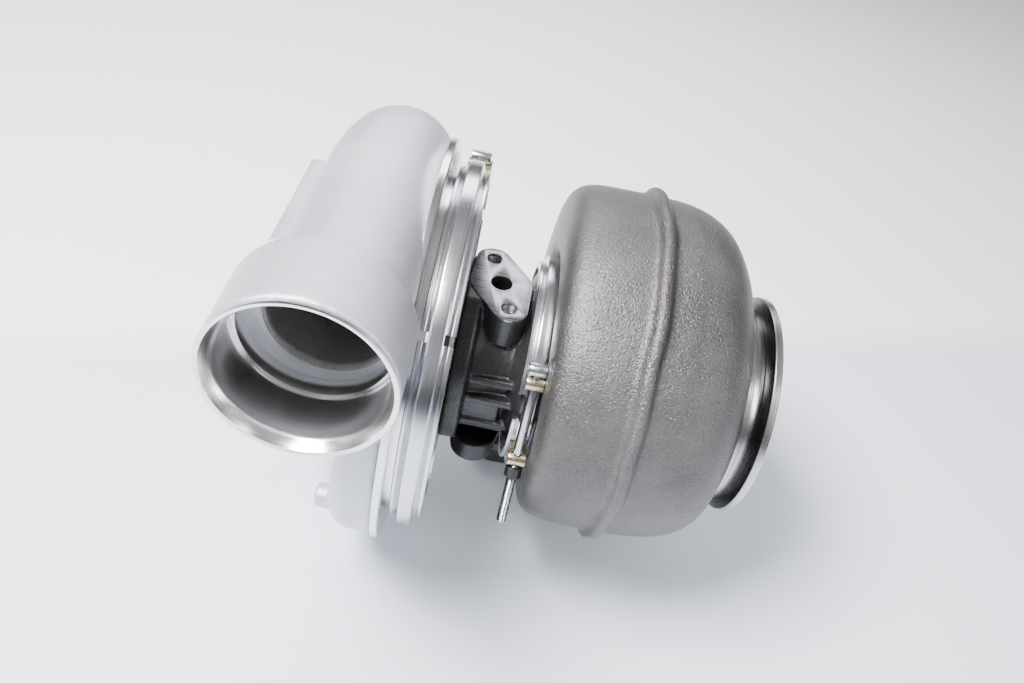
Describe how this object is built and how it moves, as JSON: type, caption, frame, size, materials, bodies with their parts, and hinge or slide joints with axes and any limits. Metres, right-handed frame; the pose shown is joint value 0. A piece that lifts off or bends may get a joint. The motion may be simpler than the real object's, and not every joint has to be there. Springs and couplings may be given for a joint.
{
  "type": "turbocharger",
  "caption": "Heavy-duty exhaust turbocharger with aluminium compressor scroll, oil-fed bearing housing and divided-entry turbine housing, joined by V-band clamps.",
  "frame": {"origin": "centre of the turbine outlet flange's end face, on the shaft axis", "axes": "+X along the shaft out of the turbine outlet, +Z out of the oil inlet flange (up when fitted), -Y the way the compressor discharge points"},
  "size_m": [0.3064, 0.3124, 0.299],
  "materials": {
    "cast_aluminium": "satin",
    "machined_aluminium": "polished",
    "dark_cast_iron": "satin",
    "grey_cast_iron": "matte",
    "turbine_alloy": "matte",
    "stainless": "satin",
    "zinc_steel": "satin",
    "gold_zinc": "satin",
    "black_steel": "satin",
    "ground_steel": "polished",
    "bearing_bronze": "satin",
    "seal_rubber": "matte"
  },
  "bodies": {
    "housing": {"compressor_cover": "cast_aluminium", "compressor_backplate": "dark_cast_iron", "bearing_housing": "dark_cast_iron", "turbine_housing": "grey_cast_iron", "heat_shield": "stainless", "backplate_bolts": "black_steel", "cover_o_ring": "seal_rubber", "backplate_o_ring": "seal_rubber", "thrust_bearing": "bearing_bronze", "oil_baffle": "zinc_steel", "thrust_screws": "black_steel", "bearing_circlips": "black_steel", "piston_ring_compressor": "ground_steel", "piston_ring_turbine": "ground_steel", "comp_clamp_retainers": "stainless", "comp_clamp_band": "stainless", "comp_clamp_trunnions": "gold_zinc", "comp_clamp_t_bolt": "zinc_steel", "comp_clamp_nut": "black_steel", "turb_clamp_retainers": "stainless", "turb_clamp_band": "stainless", "turb_clamp_trunnions": "gold_zinc", "turb_clamp_t_bolt": "zinc_steel", "turb_clamp_sleeve": "black_steel", "turb_clamp_nut": "black_steel"},
    "rotor": {"shaft": "ground_steel", "turbine_wheel": "turbine_alloy", "compressor_wheel": "machined_aluminium", "compressor_nut": "black_steel", "thrust_collar": "ground_steel", "oil_slinger": "ground_steel"},
    "compressor_side_bearing": {"journal_bearing_compressor": "bearing_bronze"},
    "turbine_side_bearing": {"journal_bearing_turbine": "bearing_bronze"}
  },
  "joints": [
    {"name": "rotor_spin", "type": "hinge", "parent": "housing", "child": "rotor", "pos_m": [-0.15, 0, 0], "axis": [1, 0, 0], "continuous": true},
    {"name": "compressor_side_bearing_float", "type": "hinge", "parent": "housing", "child": "compressor_side_bearing", "pos_m": [-0.173, 0, 0], "axis": [1, 0, 0], "continuous": true},
    {"name": "turbine_side_bearing_float", "type": "hinge", "parent": "housing", "child": "turbine_side_bearing", "pos_m": [-0.124, 0, 0], "axis": [1, 0, 0], "continuous": true}
  ]
}
